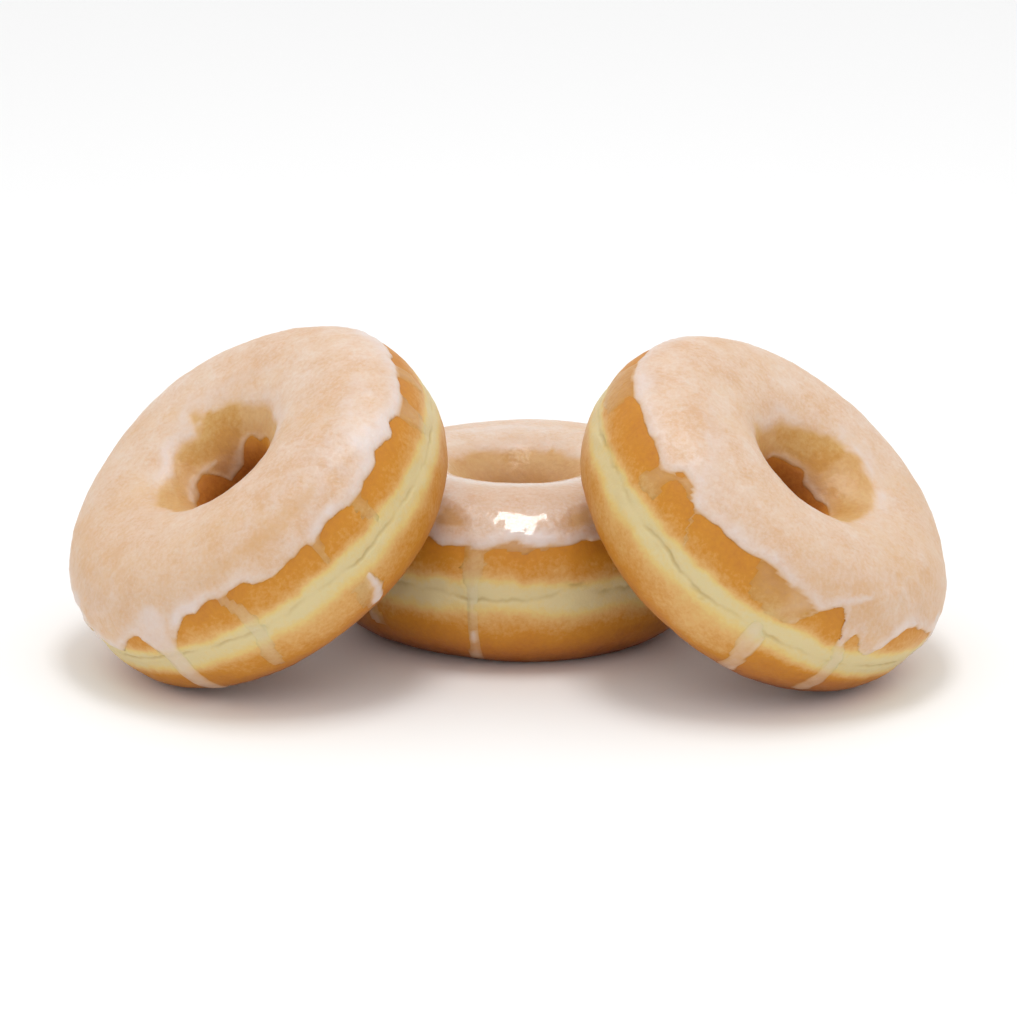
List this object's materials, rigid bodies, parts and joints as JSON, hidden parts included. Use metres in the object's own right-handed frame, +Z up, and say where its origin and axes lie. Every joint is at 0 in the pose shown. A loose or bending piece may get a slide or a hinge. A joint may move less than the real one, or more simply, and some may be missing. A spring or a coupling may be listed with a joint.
{
  "type": "glazed ring doughnuts",
  "caption": "Sugar-glazed ring doughnuts, leaning together in a small group: puffy golden baked rings with a pale seam and a thin, dripping coat of glaze.",
  "frame": {"origin": "on the table under the middle of the group's outline", "axes": "+X along the row from the left doughnut to the right one, +Y to the back, where the flat doughnut is, +Z up"},
  "size_m": [0.1948, 0.1298, 0.0727],
  "materials": {
    "dough": "satin",
    "glaze": "satin"
  },
  "bodies": {
    "root": {"left_dough": "dough", "left_glaze": "glaze", "middle_dough": "dough", "middle_glaze": "glaze", "right_dough": "dough", "right_glaze": "glaze"}
  },
  "joints": []
}
